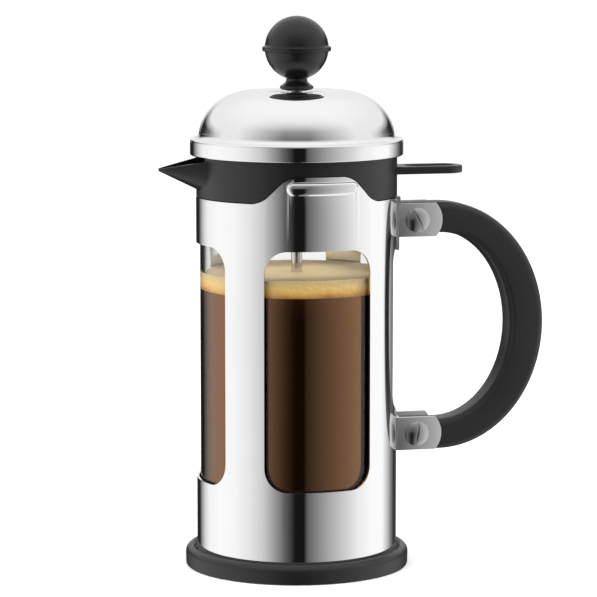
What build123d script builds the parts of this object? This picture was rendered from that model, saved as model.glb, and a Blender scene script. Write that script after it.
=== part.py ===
"""French press: glass beaker in a windowed metal sleeve, with a sliding plunger.

Millimetres. The origin is on the beaker's axis, at the foot. +Z is up and +X points to the handle.
"""
import os
from math import cos, hypot, radians, sin, sqrt

from build123d import *

os.makedirs("parts", exist_ok=True)

# ---- driving dimensions ----
beaker_radius = 35.0            # outside of the glass
glass_wall = 1.8
glass_floor = 2.2
glass_corner = 5.0              # outside round at the foot of the glass
glass_seat = 8.0                # height of the underside of the glass
glass_height = 131.0

sheet = 0.8                     # sheet metal of sleeve and lid
sleeve_gap = 0.6                # air between glass and sleeve
sleeve_foot = 3.2
rim_drop = 4.2                  # glass rim above the sleeve's rim
arch_rise = 9.6
arch_foot_half = 20.4
arch_crown_half = 11.4
arch_round = 5.6
window_width = 38.7
window_bottom = 32.4
window_drop = 16.5              # sleeve rim above the windows' top
window_corner = 8.0
handle_window_bottom = 57.0
pill_length = 26.0
pill_height = 4.8
pill_drop = 4.2                 # from the crown of the arch to the middle of the pill
pill_relief = 0.9

base_ledge = 4.3                # base ring outside the sleeve
base_height = 7.0
base_floor = 2.4
base_lip = 5.4                  # height of the ring beside the sleeve
groove_gap = 0.2
notch_width = 5.0
notch_depth = 1.6
cushion_inset = 6.0

collar_inset = 0.1              # collar's skin under the sleeve's
collar_rise = 12.8              # from the glass rim to the top of the collar
collar_ledge = 0.8              # thickness of the gasket under the ledge
collar_wall = 3.1
fit_gap = 0.15                  # collar on glass
part_gap = 0.3                  # clearance between pieces that come apart
spout_reach = 14.2              # tip of the beak from the sleeve
spout_tip_rise = 6.7            # from the glass rim
spout_half_width = 10.5
spout_wall = 1.5
loop_reach = 25.6               # end of the thumb loop from the sleeve
loop_width = 14.0
loop_thickness = 2.8
loop_rise = 3.2                 # from the glass rim
loop_slot_width = 8.2

lid_overhang = 2.2
lid_skirt = 5.1
lid_round = 1.6
dome_inset = 3.1
dome_shoulder = 19.4
dome_rise = 17.1
plug_gap = 0.4
plug_wall = 1.6
plug_depth = 8.8
flange_thickness = 3.1
slot_width = 1.3
slot_height = 5.6
slot_count = 9
slot_pitch = 7.0                # degrees

rod_diameter = 4.0
running_gap = 0.08
thread_gap = 0.04
bushing_radius = 3.5
bushing_flange = 6.0
bushing_flange_height = 1.4
clip_height = 1.2
knob_radius = 11.5
bead_radius = 12.4
bead_height = 1.9
knob_neck = 3.75
knob_foot = 6.05
insert_radius = 3.4
insert_length = 8.0
knob_stop_gap = 0.3

filter_gap = 0.4                # mesh rim to glass
filter_clearance = 0.8          # hub nut to the glass floor
mesh_sheet = 0.25
mesh_rim = 4.0
cross_plate_inset = 1.8
cross_plate_thickness = 1.0
plate_thickness = 0.8
plate_lip = 1.4
spring_wire = 1.2               # radius of the coil
spring_gap = 0.12
hub_radius = 4.5
hub_height = 5.0
hub_flange = 7.0
nut_flats = 7.0
nut_height = 2.2

handle_width = 12.0
handle_bow = 39.4
handle_offset = 16.6            # middle of the bow from the sleeve
handle_drop = 3.0               # sleeve rim above the handle
handle_bottom = 40.6
handle_outer_wall = 13.0
handle_arm = 11.3
handle_edge = 2.4
strap = 1.2
strap_gap = 0.05
upper_strap_drop = 3.1
strap_height = 12.2
lower_strap_bottom = 41.0
strap_reach = 16.5              # from the sleeve
strap_nose = 9.0
tongue_drop = 0.5
tongue_height = 19.8
tongue_half = 4.0
screw_offset = 7.0              # from the sleeve
screw_radius = 2.0
screw_head_radius = 4.5
screw_head_height = 1.7
screw_slot = 1.1
screw_gap = 0.05
screw_nut_flats = 7.0
screw_nut_height = 2.4
upper_slot_angle = 28.0
lower_slot_angle = -10.0

# ---- sizes worked out from them ----
sleeve_inner = beaker_radius + sleeve_gap
sleeve_radius = sleeve_inner + sheet
glass_inner = beaker_radius - glass_wall
glass_rim = glass_seat + glass_height
sleeve_rim = glass_rim - rim_drop
arch_top = sleeve_rim + arch_rise
window_top = sleeve_rim - window_drop
base_radius = sleeve_radius + base_ledge
cushion_radius = beaker_radius - cushion_inset
inside_floor = glass_seat + glass_floor

collar_radius = sleeve_radius - collar_inset
collar_top = glass_rim + collar_rise
collar_inner = collar_radius - collar_wall
ledge = glass_rim + collar_ledge
collar_behind_arch = sleeve_inner - part_gap
spout_tip = sleeve_radius + spout_reach
spout_tip_height = glass_rim + spout_tip_rise
loop_end = sleeve_radius + loop_reach
loop_bottom = glass_rim + loop_rise

lid_radius = collar_radius + lid_overhang
dome_radius = lid_radius - dome_inset
dome_flat = dome_radius - dome_shoulder
plug_radius = collar_inner - plug_gap
plug_inner = plug_radius - plug_wall
plug_flange_radius = lid_radius - lid_round - fit_gap
lid_flange = collar_top + flange_thickness + sheet      # top of the lid's rim
lid_foot = lid_flange - sheet - lid_skirt
dome_top = lid_flange + dome_rise

rod_radius = rod_diameter / 2
hub_nut_foot = inside_floor + filter_clearance
cross_plate_foot = hub_nut_foot + nut_height
mesh_foot = cross_plate_foot + cross_plate_thickness
plate_foot = mesh_foot + mesh_sheet
hub_foot = plate_foot + plate_thickness
mesh_radius = glass_inner - filter_gap
cross_plate_radius = mesh_radius - cross_plate_inset
spring_ring = mesh_radius - mesh_sheet - spring_gap - spring_wire
plate_radius = spring_ring - spring_wire - spring_gap

knob_bottom = dome_top + knob_stop_gap
knob_centre = knob_bottom + 15.0
rod_top = knob_centre - 2.0
handle_centre = sleeve_radius + handle_offset
handle_top = sleeve_rim - handle_drop
handle_middle = (handle_top + handle_bottom) / 2
strap_inner = handle_width / 2 + strap_gap
strap_outer = strap_inner + strap
strap_seat = sleeve_radius + strap_gap
upper_strap_top = sleeve_rim - upper_strap_drop
upper_strap_bottom = upper_strap_top - strap_height
lower_strap_top = lower_strap_bottom + strap_height
strap_nose_end = sleeve_radius + strap_reach
tongue_top = sleeve_rim - tongue_drop
tongue_bottom = tongue_top - tongue_height
screw_station = sleeve_radius + screw_offset
upper_screw = (upper_strap_bottom + upper_strap_top) / 2
lower_screw = (lower_strap_bottom + lower_strap_top) / 2


def finish(piece, name):
    """Label a finished piece and write its file."""
    piece.part.label = name
    export_step(piece.part, f"parts/{name}.step")
    solids = piece.part.solids()
    print(name, len(solids), "solids", round(piece.part.volume, 1), "mm3")


def arch_outline(grow):
    """Wavy top edge of the sleeve as a closed outline in X and Z, grown outwards."""
    side = base_radius + 10
    slope = hypot(arch_rise, arch_foot_half - arch_crown_half)
    spread = grow * (slope + arch_foot_half - arch_crown_half) / arch_rise
    foot = arch_foot_half + grow * (slope - arch_foot_half + arch_crown_half) / arch_rise
    crown = arch_crown_half + spread - 2 * grow * (arch_foot_half - arch_crown_half) / arch_rise
    with BuildSketch(Plane.XZ) as outline:
        with BuildLine():
            Polyline(
                (-side, -10),
                (-side, sleeve_rim + grow),
                (-foot, sleeve_rim + grow),
                (-crown, arch_top + grow),
                (crown, arch_top + grow),
                (foot, sleeve_rim + grow),
                (side, sleeve_rim + grow),
                (side, -10),
                close=True,
            )
        make_face()
        bends = outline.vertices().filter_by(lambda v: abs(v.X) < side - 1 and v.Z > 0)
        fillet(bends, arch_round)
    return outline.sketch


# ---- base ring: moulded foot with a floor, grooved for the sleeve ----
with BuildPart() as base_ring:
    with BuildSketch(Plane.XZ):
        with BuildLine():
            crown_radius = (sleeve_radius + base_radius) / 2
            Polyline((0, 0), (base_radius - 0.8, 0), (base_radius, 0.8), (base_radius, 4.0))
            ThreePointArc(
                (base_radius, 4.0),
                (base_radius - 0.7, base_height - 0.8),
                (crown_radius, base_height),
            )
            Polyline(
                (crown_radius, base_height),
                (sleeve_radius + groove_gap, base_lip),
                (sleeve_radius + groove_gap, sleeve_foot - groove_gap),
                (sleeve_inner - groove_gap, sleeve_foot - groove_gap),
                (sleeve_inner - groove_gap, base_lip),
                (sleeve_inner - groove_gap - 2.0, base_lip),
                (sleeve_inner - groove_gap - 2.0, base_floor),
                (0, base_floor),
                (0, 0),
            )
        make_face()
    revolve(axis=Axis.Z)
    with PolarLocations(crown_radius - 0.6, 4, start_angle=45):
        with Locations((0, 0, base_height - notch_depth / 2 + 0.4)):
            Box(2.4, notch_width, notch_depth + 0.8, mode=Mode.SUBTRACT)
finish(base_ring, "base_ring")

# ---- base cushion: soft disc under the glass ----
with BuildPart() as base_cushion:
    with BuildSketch(Plane.XY.offset(base_floor)):
        Circle(cushion_radius)
    extrude(amount=glass_seat - base_floor)
    chamfer(base_cushion.edges().filter_by(GeomType.CIRCLE), 0.6)
finish(base_cushion, "base_cushion")

# ---- sleeve: sheet-metal tube with four windows, arches and pressed pills ----


def curved_pill(inner, outer, length, height):
    """Pill-shaped patches of a tube wall, one in each arch."""
    middle = arch_top - pill_drop
    with BuildPart() as patches:
        with BuildSketch(Plane.XY.offset(middle - pill_height)):
            Circle(outer)
            Circle(inner, mode=Mode.SUBTRACT)
        extrude(amount=2 * pill_height)
        with BuildSketch(Plane.XZ):
            with Locations((0, middle)):
                SlotOverall(length, height)
        extrude(amount=base_radius, both=True, mode=Mode.INTERSECT)
    return patches.part


pill_shells = curved_pill(
    sleeve_inner + 0.1,
    sleeve_radius + pill_relief,
    pill_length,
    pill_height,
)
pill_pockets = curved_pill(
    sleeve_inner - 1,
    sleeve_inner + pill_relief,
    pill_length - 2 * sheet,
    pill_height - 2 * sheet,
)

with BuildPart() as sleeve:
    with BuildSketch(Plane.XY.offset(sleeve_foot)):
        Circle(sleeve_radius)
        Circle(sleeve_inner, mode=Mode.SUBTRACT)
    extrude(amount=arch_top + 1 - sleeve_foot)
    with BuildSketch(Plane.XZ):
        add(arch_outline(0))
    extrude(amount=base_radius, both=True, mode=Mode.INTERSECT)
    for facing in (0, 90, 180, 270):
        low = handle_window_bottom if facing == 0 else window_bottom
        outward = Plane(
            origin=(0, 0, (low + window_top) / 2),
            x_dir=(-sin(radians(facing)), cos(radians(facing)), 0),
            z_dir=(cos(radians(facing)), sin(radians(facing)), 0),
        )
        with BuildSketch(outward):
            RectangleRounded(window_width, window_top - low, window_corner)
        extrude(amount=base_radius, mode=Mode.SUBTRACT)
    add(pill_shells)
    add(pill_pockets, mode=Mode.SUBTRACT)
finish(sleeve, "sleeve")

# ---- brackets: U straps, welded to the sleeve, that hold the handle's arms ----
for name, low, high, screw_height in (
    ("upper_bracket", upper_strap_bottom, upper_strap_top, upper_screw),
    ("lower_bracket", lower_strap_bottom, lower_strap_top, lower_screw),
):
    web_low = tongue_bottom if name == "upper_bracket" else low
    web_high = tongue_top if name == "upper_bracket" else high
    with BuildPart() as bracket:
        with BuildSketch(Plane.XY.offset(web_low)):
            Circle(strap_seat + strap)
            Circle(strap_seat, mode=Mode.SUBTRACT)
            with Locations((base_radius / 2 + 10, 0)):
                Rectangle(base_radius, 2 * strap_outer, mode=Mode.INTERSECT)
        extrude(amount=web_high - web_low)
        with BuildSketch(Plane.YZ):
            with BuildLine():
                Polyline(
                    (-tongue_half, web_low),
                    (-strap_outer, low),
                    (-strap_outer, high),
                    (-tongue_half, web_high),
                    (tongue_half, web_high),
                    (strap_outer, high),
                    (strap_outer, low),
                    (tongue_half, web_low),
                    close=True,
                )
            make_face()
        extrude(amount=base_radius + 5, mode=Mode.INTERSECT)
        for side in (-1, 1):
            leg_root = sqrt(strap_seat**2 - strap_inner**2)
            half = (high - low) / 2
            nose_start = strap_nose_end - strap_nose + sqrt(strap_nose**2 - half**2)
            with BuildSketch(Plane.XZ.offset(-side * strap_inner)):
                with BuildLine():
                    Polyline((nose_start, high), (leg_root + 0.2, high), (leg_root + 0.2, low), (nose_start, low))
                    ThreePointArc((nose_start, low), (strap_nose_end, screw_height), (nose_start, high))
                make_face()
            extrude(amount=-side * strap)
        with BuildSketch(Plane.XZ):
            with Locations((screw_station, screw_height)):
                Circle(screw_radius + screw_gap)
        extrude(amount=2 * strap_outer, both=True, mode=Mode.SUBTRACT)
    finish(bracket, name)

# ---- handle: moulded D bow with two arms between the straps ----
with BuildPart() as handle:
    arm_end = strap_seat + strap + part_gap
    outer_half = (handle_top - handle_bottom) / 2
    inner_bow = handle_bow - handle_outer_wall
    inner_half = outer_half - handle_arm
    with BuildSketch(Plane.XZ):
        with Locations((handle_centre, handle_middle)):
            Ellipse(handle_bow, outer_half)
            Ellipse(inner_bow, inner_half, mode=Mode.SUBTRACT)
        with Locations(((arm_end + handle_centre) / 2 - handle_bow, handle_middle)):
            Rectangle(handle_centre - arm_end + 2 * handle_bow, 2 * outer_half + 2, mode=Mode.SUBTRACT)
        for height in (handle_top - handle_arm / 2, handle_bottom + handle_arm / 2):
            with Locations(((arm_end + handle_centre) / 2, height)):
                Rectangle(handle_centre - arm_end, handle_arm)
    extrude(amount=handle_width / 2, both=True)
    rims = handle.edges().filter_by(lambda e: abs(abs(e.center().Y) - handle_width / 2) < 0.01)
    fillet(rims.filter_by(lambda e: e.center().X > arm_end + 0.5), handle_edge)
    with BuildSketch(Plane.XZ):
        with Locations((screw_station, upper_screw), (screw_station, lower_screw)):
            Circle(screw_radius + screw_gap)
    extrude(amount=handle_width, both=True, mode=Mode.SUBTRACT)
finish(handle, "handle")

# ---- handle screws: slotted round heads on the -Y side ----
with BuildPart() as handle_screws:
    for height, turn in ((upper_screw, upper_slot_angle), (lower_screw, lower_slot_angle)):
        seat = Plane(origin=(screw_station, -strap_outer, height), x_dir=(1, 0, 0), z_dir=(0, -1, 0))
        with BuildSketch(seat):
            Circle(screw_radius)
        extrude(amount=-(2 * strap_outer + screw_nut_height + 1.0))
        with BuildSketch(seat):
            Circle(screw_head_radius)
        extrude(amount=screw_head_height)
        with BuildSketch(seat.offset(screw_head_height)):
            Rectangle(screw_slot, 3 * screw_head_radius, rotation=turn)
        extrude(amount=-screw_head_height / 2, mode=Mode.SUBTRACT)
finish(handle_screws, "handle_screws")

# ---- handle nuts: plain hexagon nuts on the +Y side ----
with BuildPart() as handle_nuts:
    for height in (upper_screw, lower_screw):
        seat = Plane(origin=(screw_station, strap_outer, height), x_dir=(1, 0, 0), z_dir=(0, 1, 0))
        with BuildSketch(seat):
            RegularPolygon(screw_nut_flats / 2, 6, major_radius=False)
            Circle(screw_radius + thread_gap, mode=Mode.SUBTRACT)
        extrude(amount=screw_nut_height)
finish(handle_nuts, "handle_nuts")

# ---- glass beaker: straight cup with a rounded foot ----
with BuildPart() as bowl:
    with BuildSketch(Plane.XY.offset(inside_floor)):
        Circle(glass_inner)
    extrude(amount=glass_height)
    fillet(bowl.edges().filter_by(GeomType.CIRCLE).sort_by(Axis.Z)[0], glass_corner - glass_wall)

with BuildPart() as glass_beaker:
    with BuildSketch(Plane.XY.offset(glass_seat)):
        Circle(beaker_radius)
    extrude(amount=glass_height)
    fillet(glass_beaker.edges().filter_by(GeomType.CIRCLE).sort_by(Axis.Z)[0], glass_corner)
    add(bowl.part, mode=Mode.SUBTRACT)
    fillet(glass_beaker.edges().filter_by(GeomType.CIRCLE).sort_by(Axis.Z)[-2:], glass_wall / 3)
finish(glass_beaker, "glass_beaker")

# ---- collar gasket: soft ring between the glass rim and the collar ----
with BuildPart() as collar_gasket:
    with BuildSketch(Plane.XY.offset(glass_rim)):
        Circle(beaker_radius - 0.2)
        Circle(glass_inner + 0.2, mode=Mode.SUBTRACT)
    extrude(amount=collar_ledge)
finish(collar_gasket, "collar_gasket")

# ---- spout collar: moulded ring with the beak (-X) and the thumb loop (+X) ----
root = sqrt(collar_radius**2 - spout_half_width**2) - 1.0
beak_top = collar_top - 3.0


def beak_section(station, half_width, top, bottom):
    """U-shaped section of the beak, across X."""
    depth = top - bottom
    with BuildSketch(Plane.YZ.offset(-station)) as section:
        with BuildLine():
            Line((half_width, top), (-half_width, top))
            Spline(
                (-half_width, top),
                (-0.83 * half_width, top - 0.62 * depth),
                (0, bottom),
                (0.83 * half_width, top - 0.62 * depth),
                (half_width, top),
            )
        make_face()
    return section.sketch


with BuildPart() as beak:
    add(beak_section(root, spout_half_width, beak_top, sleeve_rim + 1.6))
    add(beak_section(spout_tip, 2.3, spout_tip_height, spout_tip_height - 1.2))
    loft()

with BuildPart() as trough:
    inside = spout_half_width - spout_wall
    lowest = ledge + 0.6
    add(beak_section(collar_inner - 4, inside, collar_top + 3, lowest))
    add(beak_section(root, inside, beak_top + 1.2, lowest))
    loft(ruled=True)
    add(beak_section(root, inside, beak_top + 1.2, lowest))
    add(beak_section(spout_tip + 0.2, 1.5, spout_tip_height + 0.6, spout_tip_height - 0.5))
    loft(ruled=True)

with BuildPart() as arch_relief:
    with BuildSketch(Plane.XY.offset(sleeve_rim - 5)):
        Circle(base_radius + 5)
        Circle(collar_behind_arch, mode=Mode.SUBTRACT)
    extrude(amount=arch_rise + 10)
    with BuildSketch(Plane.XZ):
        add(arch_outline(part_gap))
    extrude(amount=base_radius + 5, both=True, mode=Mode.INTERSECT)

with BuildPart() as beak_outside:
    add(beak.part)
    with BuildSketch(Plane.XY.offset(sleeve_rim - 5)):
        Circle(collar_inner + 1)
    extrude(amount=arch_rise + 20, mode=Mode.SUBTRACT)
    with BuildSketch(Plane.XY.offset(sleeve_rim - 5)):
        Circle(beaker_radius + fit_gap)
    extrude(amount=ledge - sleeve_rim + 5, mode=Mode.SUBTRACT)

with BuildPart() as thumb_loop:
    with BuildSketch(Plane.XY.offset(loop_bottom)):
        with Locations((loop_end - loop_width / 2, 0)):
            Circle(loop_width / 2)
        with Locations(((loop_end - loop_width / 2 + collar_inner + 1.5) / 2, 0)):
            Rectangle(loop_end - loop_width / 2 - collar_inner - 1.5, loop_width)
        slot_start = collar_radius + 4
        slot_end = loop_end - (loop_width - loop_slot_width) / 2
        with Locations(((slot_start + slot_end) / 2, 0)):
            SlotOverall(slot_end - slot_start, loop_slot_width, mode=Mode.SUBTRACT)
    extrude(amount=loop_thickness)
    fillet(thumb_loop.edges().filter_by(lambda e: e.center().X > collar_radius), 0.5)

with BuildPart() as spout_collar:
    with BuildSketch(Plane.XZ):
        with BuildLine():
            Polyline(
                (beaker_radius + fit_gap, sleeve_rim + part_gap),
                (collar_radius, sleeve_rim + part_gap),
                (collar_radius, collar_top),
                (collar_inner, collar_top),
                (collar_inner, ledge),
                (beaker_radius + fit_gap, ledge),
                close=True,
            )
        make_face()
    revolve(axis=Axis.Z)
    add(arch_relief.part, mode=Mode.SUBTRACT)
    add(beak_outside.part)
    add(trough.part, mode=Mode.SUBTRACT)
    add(thumb_loop.part)
finish(spout_collar, "spout_collar")

# ---- lid dome: drawn sheet with a turned-down rim ----
with BuildPart() as lid_dome:
    with BuildSketch(Plane.XZ):
        with BuildLine():
            bore = bushing_radius + running_gap
            rise = dome_top - lid_flange
            Polyline((lid_radius - sheet, lid_foot), (lid_radius, lid_foot), (lid_radius, lid_flange - lid_round))
            RadiusArc(
                (lid_radius, lid_flange - lid_round),
                (lid_radius - lid_round, lid_flange),
                -lid_round,
            )
            Line((lid_radius - lid_round, lid_flange), (dome_radius, lid_flange))
            EllipticalCenterArc((dome_flat, lid_flange), dome_radius - dome_flat, rise, arc_size=90)
            Polyline((dome_flat, dome_top), (bore, dome_top), (bore, dome_top - sheet), (dome_flat, dome_top - sheet))
            EllipticalCenterArc(
                (dome_flat, lid_flange),
                dome_radius - dome_flat - sheet,
                rise - sheet,
                arc_size=90,
            )
            Polyline(
                (dome_radius - sheet, lid_flange),
                (dome_radius - sheet, lid_flange - sheet),
                (lid_radius - lid_round, lid_flange - sheet),
            )
            RadiusArc(
                (lid_radius - lid_round, lid_flange - sheet),
                (lid_radius - sheet, lid_flange - lid_round),
                lid_round - sheet,
            )
            Line((lid_radius - sheet, lid_flange - lid_round), (lid_radius - sheet, lid_foot))
        make_face()
    revolve(axis=Axis.Z)
finish(lid_dome, "lid_dome")

# ---- lid insert: moulded plug with strainer slots on the spout side ----
with BuildPart() as lid_insert:
    plug_foot = collar_top - plug_depth
    plate_top = collar_top + flange_thickness
    with BuildSketch(Plane.XZ):
        with BuildLine():
            Polyline(
                (bushing_radius + running_gap, collar_top),
                (plug_inner, collar_top),
                (plug_inner, plug_foot),
                (plug_radius, plug_foot),
                (plug_radius, collar_top),
                (plug_flange_radius, collar_top),
                (plug_flange_radius, plate_top),
                (bushing_radius + running_gap, plate_top),
                close=True,
            )
        make_face()
    revolve(axis=Axis.Z)
    for index in range(slot_count):
        angle = 180 + (index - (slot_count - 1) / 2) * slot_pitch
        station = (plug_radius + plug_inner) / 2
        place = (station * cos(radians(angle)), station * sin(radians(angle)), plug_foot + plug_depth / 2)
        with Locations(Location(place, (0, 0, angle))):
            Box(3 * plug_wall, slot_width, slot_height, mode=Mode.SUBTRACT)
finish(lid_insert, "lid_insert")

# ---- guide bushing: flanged tube through the lid, with a clip below ----
tube_foot = collar_top - clip_height - 0.3
with BuildPart() as guide_bushing:
    flange_top = dome_top - sheet - 0.1
    with BuildSketch(Plane.XZ):
        with BuildLine():
            Polyline(
                (rod_radius + running_gap, tube_foot),
                (bushing_radius, tube_foot),
                (bushing_radius, flange_top - bushing_flange_height),
                (bushing_flange, flange_top - bushing_flange_height),
                (bushing_flange, flange_top),
                (bushing_radius, flange_top),
                (bushing_radius, dome_top),
                (rod_radius + running_gap, dome_top),
                close=True,
            )
        make_face()
    revolve(axis=Axis.Z)
finish(guide_bushing, "guide_bushing")

with BuildPart() as guide_clip:
    with BuildSketch(Plane.XY.offset(collar_top - 0.1 - clip_height)):
        Circle(bushing_flange)
        Circle(bushing_radius + thread_gap, mode=Mode.SUBTRACT)
    extrude(amount=clip_height)
finish(guide_clip, "guide_clip")

# ---- plunger rod, knob and the insert that joins them ----
with BuildPart() as plunger_rod:
    with BuildSketch(Plane.XY.offset(hub_nut_foot)):
        Circle(rod_radius)
    extrude(amount=rod_top - hub_nut_foot)
    chamfer(plunger_rod.edges().filter_by(GeomType.CIRCLE), 0.3)
finish(plunger_rod, "plunger_rod")

with BuildPart() as knob:
    neck_height = knob_bottom + 3.7
    foot_height = knob_bottom + 0.9
    bead_middle = knob_centre - 0.3
    meet = knob_centre - sqrt(knob_radius**2 - 5.6**2)
    with BuildSketch(Plane.XZ):
        with BuildLine():
            Polyline((0, knob_bottom), (knob_foot - 0.8, knob_bottom), (knob_foot, foot_height))
            Spline(
                (knob_foot, foot_height),
                (knob_neck, neck_height),
                (5.6, meet),
                tangents=[(-0.3, 1), (1, 0.5)],
            )
            ThreePointArc(
                (5.6, meet),
                (knob_radius * cos(radians(-20)), knob_centre + knob_radius * sin(radians(-20))),
                (0, knob_centre + knob_radius),
            )
            Line((0, knob_centre + knob_radius), (0, knob_bottom))
        make_face()
    revolve(axis=Axis.Z)
    with BuildSketch(Plane.XY.offset(bead_middle - bead_height / 2)):
        Circle(bead_radius)
    extrude(amount=bead_height)
    bead_edges = knob.edges().filter_by(GeomType.CIRCLE).filter_by(lambda e: abs(e.radius - bead_radius) < 0.01)
    fillet(bead_edges, 0.6)
    with BuildSketch(Plane.XY.offset(knob_bottom)):
        Circle(rod_radius + thread_gap)
    extrude(amount=rod_top - knob_bottom + 0.5, mode=Mode.SUBTRACT)
    with BuildSketch(Plane.XY.offset(rod_top - insert_length)):
        Circle(insert_radius)
    extrude(amount=insert_length, mode=Mode.SUBTRACT)
finish(knob, "knob")

with BuildPart() as knob_insert:
    with BuildSketch(Plane.XY.offset(rod_top - insert_length)):
        Circle(insert_radius - thread_gap)
        Circle(rod_radius + thread_gap, mode=Mode.SUBTRACT)
    extrude(amount=insert_length)
finish(knob_insert, "knob_insert")

# ---- filter stack, from the bottom up ----
with BuildPart() as hub_nut:
    with BuildSketch(Plane.XY.offset(hub_nut_foot)):
        RegularPolygon(nut_flats / 2, 6, major_radius=False)
        Circle(rod_radius + thread_gap, mode=Mode.SUBTRACT)
    extrude(amount=nut_height)
finish(hub_nut, "hub_nut")

with BuildPart() as cross_plate:
    with BuildSketch(Plane.XY.offset(cross_plate_foot)):
        Circle(cross_plate_radius)
        Circle(rod_radius + thread_gap, mode=Mode.SUBTRACT)
        with PolarLocations(cross_plate_radius * 0.60, 6):
            Circle(cross_plate_radius * 0.22, mode=Mode.SUBTRACT)
    extrude(amount=cross_plate_thickness)
finish(cross_plate, "cross_plate")

with BuildPart() as filter_mesh:
    with BuildSketch(Plane.XY.offset(mesh_foot)):
        Circle(mesh_radius)
        Circle(rod_radius + thread_gap, mode=Mode.SUBTRACT)
    extrude(amount=mesh_sheet)
    with BuildSketch(Plane.XY.offset(mesh_foot)):
        Circle(mesh_radius)
        Circle(mesh_radius - mesh_sheet, mode=Mode.SUBTRACT)
    extrude(amount=mesh_rim)
finish(filter_mesh, "filter_mesh")

with BuildPart() as spring_plate:
    with BuildSketch(Plane.XY.offset(plate_foot)):
        Circle(plate_radius)
        Circle(rod_radius + thread_gap, mode=Mode.SUBTRACT)
        for ring, count in ((0.38, 8), (0.58, 12), (0.78, 18)):
            with PolarLocations(plate_radius * ring, count):
                Circle(2.0, mode=Mode.SUBTRACT)
    extrude(amount=plate_thickness)
    with BuildSketch(Plane.XY.offset(plate_foot)):
        Circle(plate_radius)
        Circle(plate_radius - plate_thickness, mode=Mode.SUBTRACT)
    extrude(amount=plate_thickness + plate_lip)
finish(spring_plate, "spring_plate")

with BuildPart() as edge_spring:
    ring_height = plate_foot + spring_gap + spring_wire
    with BuildSketch(Plane.XZ):
        with Locations((spring_ring, ring_height)):
            Circle(spring_wire)
    revolve(axis=Axis.Z)
finish(edge_spring, "edge_spring")

with BuildPart() as rod_collar:
    with BuildSketch(Plane.XZ):
        with BuildLine():
            Polyline(
                (rod_radius + thread_gap, hub_foot),
                (hub_flange, hub_foot),
                (hub_flange, hub_foot + 1.2),
                (hub_radius, hub_foot + 1.8),
                (hub_radius, hub_foot + hub_height - 0.6),
                (hub_radius - 0.6, hub_foot + hub_height),
                (rod_radius + thread_gap, hub_foot + hub_height),
                close=True,
            )
        make_face()
    revolve(axis=Axis.Z)
finish(rod_collar, "rod_collar")
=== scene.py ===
"""French press: glass beaker in a polished windowed sleeve, with a lid, a plunger and coffee."""
from math import asin, cos, degrees, pi, radians, sin

import bmesh
import bpy
from mathutils import Matrix, Vector


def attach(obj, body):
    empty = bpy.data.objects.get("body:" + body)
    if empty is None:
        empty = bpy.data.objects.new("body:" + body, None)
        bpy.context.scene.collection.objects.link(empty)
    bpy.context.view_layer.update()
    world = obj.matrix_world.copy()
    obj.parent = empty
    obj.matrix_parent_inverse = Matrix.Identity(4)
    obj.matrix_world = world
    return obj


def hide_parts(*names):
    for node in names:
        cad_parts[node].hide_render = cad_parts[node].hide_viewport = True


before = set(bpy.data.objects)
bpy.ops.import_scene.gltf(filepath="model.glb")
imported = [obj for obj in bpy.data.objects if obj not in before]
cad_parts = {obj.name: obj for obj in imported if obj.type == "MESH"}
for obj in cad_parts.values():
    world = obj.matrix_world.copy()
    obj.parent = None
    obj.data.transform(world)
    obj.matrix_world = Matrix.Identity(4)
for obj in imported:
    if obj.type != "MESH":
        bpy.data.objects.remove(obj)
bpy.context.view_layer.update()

# ---- Studio ----
# A pale sheet of card on the floor, soft light from all round, and strips of dark and white card
# that stand about the press so that the polished metal has something to reflect.
MM = 0.001
CAMERA_TURN = radians(13.7)      # the camera looks along +Y, turned this far towards +X
CAMERA_REACH = 1093.8 * MM
CAMERA_HEIGHT = 238.1 * MM
CAMERA_PITCH = radians(7.335)
CAMERA_AIM = radians(0.034)      # small turn that puts the press in the middle of the view
CAMERA_LENS = 183.2


def add_object(name, data):
    """A new object that shows the given data."""
    thing = bpy.data.objects.new(name, data)
    bpy.context.collection.objects.link(thing)
    return thing


camera_data = bpy.data.cameras.new("studio_camera")
camera_data.lens = CAMERA_LENS
camera_data.sensor_width = 36.0
camera = add_object("studio_camera", camera_data)
camera.location = (
    -sin(CAMERA_TURN) * CAMERA_REACH,
    -cos(CAMERA_TURN) * CAMERA_REACH,
    CAMERA_HEIGHT,
)
camera.rotation_euler = (pi / 2 - CAMERA_PITCH, 0, -CAMERA_TURN - CAMERA_AIM)
bpy.context.scene.camera = camera
bpy.context.scene.view_settings.view_transform = "Standard"


def new_material(name):
    """An empty node material, with its shader and its node tree."""
    material = bpy.data.materials.new(name)
    material.use_nodes = True
    tree = material.node_tree
    tree.nodes.clear()
    output = tree.nodes.new("ShaderNodeOutputMaterial")
    shader = tree.nodes.new("ShaderNodeBsdfPrincipled")
    tree.links.new(shader.outputs["BSDF"], output.inputs["Surface"])
    return material, tree, shader


def connect(tree, node, inputs):
    """Fill a node's inputs; each is a value, or a socket to link."""
    for key, value in dict(inputs).items():
        sockets = [socket for socket in node.inputs if socket.enabled and socket.name == key]
        socket = sockets[0] if sockets else node.inputs[key]
        if isinstance(value, bpy.types.NodeSocket):
            tree.links.new(value, socket)
        else:
            socket.default_value = value


def add_node(tree, kind, inputs=(), **settings):
    """A node with its settings and its inputs."""
    node = tree.nodes.new("ShaderNode" + kind)
    for key, value in settings.items():
        setattr(node, key, value)
    connect(tree, node, inputs)
    return node


def blend(tree, factor, low, high, blend_type="MIX"):
    """Colour that goes from the low one to the high one with the factor."""
    inputs = {"Factor": factor, "A": low, "B": high}
    node = add_node(tree, "Mix", inputs, data_type="RGBA", blend_type=blend_type)
    return next(socket for socket in node.outputs if socket.enabled)


def rescaled(tree, value, low, high):
    """0 at the low value and 1 at the high one."""
    return add_node(tree, "MapRange", {"Value": value, "From Min": low, "From Max": high}).outputs[0]


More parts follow.
